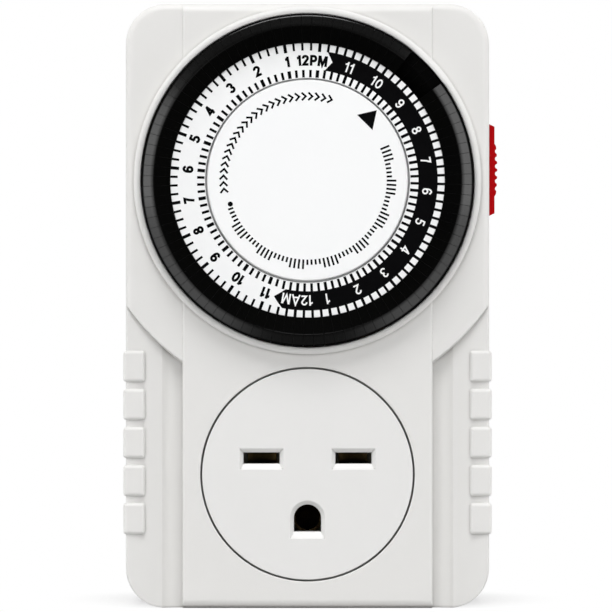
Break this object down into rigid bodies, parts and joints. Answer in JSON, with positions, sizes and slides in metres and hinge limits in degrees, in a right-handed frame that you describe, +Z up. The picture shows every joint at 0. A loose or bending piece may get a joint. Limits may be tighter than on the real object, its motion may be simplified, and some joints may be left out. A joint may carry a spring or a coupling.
{
  "type": "plug-in timer switch",
  "caption": "Plug-in mechanical timer: a case with blades behind, an outlet in front and a 24-hour dial of push-down segments, with an override slider.",
  "frame": {"origin": "on the back face that lies against the wall, midway between the two plug blades, which is also the centre line of the outlet's blade slots", "axes": "+X to the right seen from the front, +Z up along the case, +Y out of the back, the way the blades point; the front faces -Y"},
  "size_m": [0.0747, 0.0635, 0.12],
  "materials": {
    "case_plastic": "fine moulded texture, warm light grey",
    "outlet_plastic": "smooth moulded, light grey white",
    "dial_plastic": "white, printed in black",
    "segment_plastic": "black, satin",
    "knob_plastic": "red, satin",
    "gear_plastic": "natural acetal",
    "frame_plastic": "grey moulded",
    "tray_plastic": "ivory moulded",
    "base_phenolic": "brown phenolic",
    "contact_brass": "stamped sheet",
    "blade_plate": "nickel-plated brass, polished",
    "plated_steel": "zinc plated",
    "coil_copper": "enamelled copper winding",
    "rotor_magnet": "ferrite magnet on a steel shaft",
    "lead_cover": "insulated wire"
  },
  "bodies": {
    "case": {"front_case": "case_plastic", "rear_case": "case_plastic", "outlet_face": "outlet_plastic", "case_screws": "plated_steel", "dial_post": "plated_steel", "dial_washer": "plated_steel", "centre_disc": "dial_plastic", "movement_frame": "frame_plastic", "inner_screws": "plated_steel", "motor_case": "plated_steel", "motor_coil": "coil_copper", "arbor_pins": "plated_steel", "follower_spring": "plated_steel", "motor_leads": "lead_cover", "switch_base": "base_phenolic", "fixed_contact": "contact_brass", "left_blade": "blade_plate", "right_blade": "blade_plate", "ground_pin": "blade_plate", "left_contact": "contact_brass", "right_contact": "contact_brass", "ground_contact": "contact_brass", "contact_tray": "tray_plastic", "feed_bar": "contact_brass", "output_bar": "contact_brass"},
    "dial": {"time_dial": "dial_plastic", "dial_gear": "gear_plastic"},
    "segments_0045": {"segments_0045": "segment_plastic"},
    "segments_0145": {"segments_0145": "segment_plastic"},
    "segments_0245": {"segments_0245": "segment_plastic"},
    "segments_0345": {"segments_0345": "segment_plastic"},
    "segments_0445": {"segments_0445": "segment_plastic"},
    "segments_0545": {"segments_0545": "segment_plastic"},
    "segments_0645": {"segments_0645": "segment_plastic"},
    "segments_0745": {"segments_0745": "segment_plastic"},
    "segments_0845": {"segments_0845": "segment_plastic"},
    "segments_0945": {"segments_0945": "segment_plastic"},
    "segments_1045": {"segments_1045": "segment_plastic"},
    "segments_1145": {"segments_1145": "segment_plastic"},
    "segments_1245": {"segments_1245": "segment_plastic"},
    "segments_1345": {"segments_1345": "segment_plastic"},
    "segments_1445": {"segments_1445": "segment_plastic"},
    "segments_1545": {"segments_1545": "segment_plastic"},
    "segments_1645": {"segments_1645": "segment_plastic"},
    "segments_1745": {"segments_1745": "segment_plastic"},
    "segments_1845": {"segments_1845": "segment_plastic"},
    "segments_1945": {"segments_1945": "segment_plastic"},
    "segments_2045": {"segments_2045": "segment_plastic"},
    "segments_2145": {"segments_2145": "segment_plastic"},
    "segments_2245": {"segments_2245": "segment_plastic"},
    "segments_2345": {"segments_2345": "segment_plastic"},
    "override": {"override_knob": "knob_plastic", "override_slide": "knob_plastic"},
    "output_pinion": {"output_pinion": "gear_plastic"},
    "clutch_wheel": {"clutch_wheel": "gear_plastic"},
    "first_wheel": {"first_wheel": "gear_plastic"},
    "motor_pinion": {"motor_pinion": "gear_plastic"},
    "motor_rotor": {"motor_rotor": "rotor_magnet"},
    "follower_lever": {"follower_lever": "tray_plastic"},
    "contact_leaf": {"contact_leaf": "contact_brass"}
  },
  "joints": [
    {"name": "dial_turn", "type": "hinge", "parent": "case", "child": "dial", "pos_m": [0, -0.036, 0.0551], "axis": [0, 1, 0], "continuous": true},
    {"name": "segments_0045_push", "type": "slide", "parent": "dial", "child": "segments_0045", "axis": [0, 1, 0], "range_m": [0, 0.003]},
    {"name": "segments_0145_push", "type": "slide", "parent": "dial", "child": "segments_0145", "axis": [0, 1, 0], "range_m": [0, 0.003]},
    {"name": "segments_0245_push", "type": "slide", "parent": "dial", "child": "segments_0245", "axis": [0, 1, 0], "range_m": [0, 0.003]},
    {"name": "segments_0345_push", "type": "slide", "parent": "dial", "child": "segments_0345", "axis": [0, 1, 0], "range_m": [0, 0.003]},
    {"name": "segments_0445_push", "type": "slide", "parent": "dial", "child": "segments_0445", "axis": [0, 1, 0], "range_m": [0, 0.003]},
    {"name": "segments_0545_push", "type": "slide", "parent": "dial", "child": "segments_0545", "axis": [0, 1, 0], "range_m": [0, 0.003]},
    {"name": "segments_0645_push", "type": "slide", "parent": "dial", "child": "segments_0645", "axis": [0, 1, 0], "range_m": [0, 0.003]},
    {"name": "segments_0745_push", "type": "slide", "parent": "dial", "child": "segments_0745", "axis": [0, 1, 0], "range_m": [0, 0.003]},
    {"name": "segments_0845_push", "type": "slide", "parent": "dial", "child": "segments_0845", "axis": [0, 1, 0], "range_m": [-0.003, 0]},
    {"name": "segments_0945_push", "type": "slide", "parent": "dial", "child": "segments_0945", "axis": [0, 1, 0], "range_m": [0, 0.003]},
    {"name": "segments_1045_push", "type": "slide", "parent": "dial", "child": "segments_1045", "axis": [0, 1, 0], "range_m": [0, 0.003]},
    {"name": "segments_1145_push", "type": "slide", "parent": "dial", "child": "segments_1145", "axis": [0, 1, 0], "range_m": [0, 0.003]},
    {"name": "segments_1245_push", "type": "slide", "parent": "dial", "child": "segments_1245", "axis": [0, 1, 0], "range_m": [0, 0.003]},
    {"name": "segments_1345_push", "type": "slide", "parent": "dial", "child": "segments_1345", "axis": [0, 1, 0], "range_m": [0, 0.003]},
    {"name": "segments_1445_push", "type": "slide", "parent": "dial", "child": "segments_1445", "axis": [0, 1, 0], "range_m": [0, 0.003]},
    {"name": "segments_1545_push", "type": "slide", "parent": "dial", "child": "segments_1545", "axis": [0, 1, 0], "range_m": [0, 0.003]},
    {"name": "segments_1645_push", "type": "slide", "parent": "dial", "child": "segments_1645", "axis": [0, 1, 0], "range_m": [0, 0.003]},
    {"name": "segments_1745_push", "type": "slide", "parent": "dial", "child": "segments_1745", "axis": [0, 1, 0], "range_m": [0, 0.003]},
    {"name": "segments_1845_push", "type": "slide", "parent": "dial", "child": "segments_1845", "axis": [0, 1, 0], "range_m": [0, 0.003]},
    {"name": "segments_1945_push", "type": "slide", "parent": "dial", "child": "segments_1945", "axis": [0, 1, 0], "range_m": [0, 0.003]},
    {"name": "segments_2045_push", "type": "slide", "parent": "dial", "child": "segments_2045", "axis": [0, 1, 0], "range_m": [0, 0.003]},
    {"name": "segments_2145_push", "type": "slide", "parent": "dial", "child": "segments_2145", "axis": [0, 1, 0], "range_m": [0, 0.003]},
    {"name": "segments_2245_push", "type": "slide", "parent": "dial", "child": "segments_2245", "axis": [0, 1, 0], "range_m": [0, 0.003]},
    {"name": "segments_2345_push", "type": "slide", "parent": "dial", "child": "segments_2345", "axis": [0, 1, 0], "range_m": [0, 0.003]},
    {"name": "override_slide_move", "type": "slide", "parent": "case", "child": "override", "axis": [0, 0, 1], "range_m": [-0.004, 0]},
    {"name": "output_pinion_turn", "type": "hinge", "parent": "case", "child": "output_pinion", "pos_m": [-0.0216, -0.0315, 0.0551], "axis": [0, 1, 0], "continuous": true},
    {"name": "clutch_wheel_turn", "type": "hinge", "parent": "case", "child": "clutch_wheel", "pos_m": [-0.0216, -0.0288, 0.0551], "axis": [0, 1, 0], "continuous": true},
    {"name": "first_wheel_turn", "type": "hinge", "parent": "case", "child": "first_wheel", "pos_m": [-0.01389, -0.0283, 0.04591], "axis": [0, 1, 0], "continuous": true},
    {"name": "motor_pinion_turn", "type": "hinge", "parent": "case", "child": "motor_pinion", "pos_m": [-0.00261, -0.0278, 0.0418], "axis": [0, 1, 0], "continuous": true},
    {"name": "motor_rotor_turn", "type": "hinge", "parent": "case", "child": "motor_rotor", "pos_m": [-0.011, -0.018, 0.0551], "axis": [0, 1, 0], "continuous": true},
    {"name": "follower_lever_rock", "type": "hinge", "parent": "case", "child": "follower_lever", "pos_m": [0.02109, -0.0285, 0.058], "axis": [1, 0, 0], "range_deg": [0, 9.3]},
    {"name": "contact_leaf_flex", "type": "hinge", "parent": "case", "child": "contact_leaf", "pos_m": [0.0313, -0.0222, 0.05485], "axis": [0, 1, 0], "range_deg": [0, 3.6]}
  ],
  "couplings": [
    {"joint": "output_pinion_turn", "follows": "dial_turn", "ratio": -5},
    {"joint": "first_wheel_turn", "follows": "clutch_wheel_turn", "ratio": -3},
    {"joint": "motor_pinion_turn", "follows": "clutch_wheel_turn", "ratio": 9},
    {"joint": "follower_lever_rock", "follows": "segments_0845_push", "rad_per_m": -53.523},
    {"joint": "contact_leaf_flex", "follows": "segments_0845_push", "rad_per_m": -20.362}
  ]
}
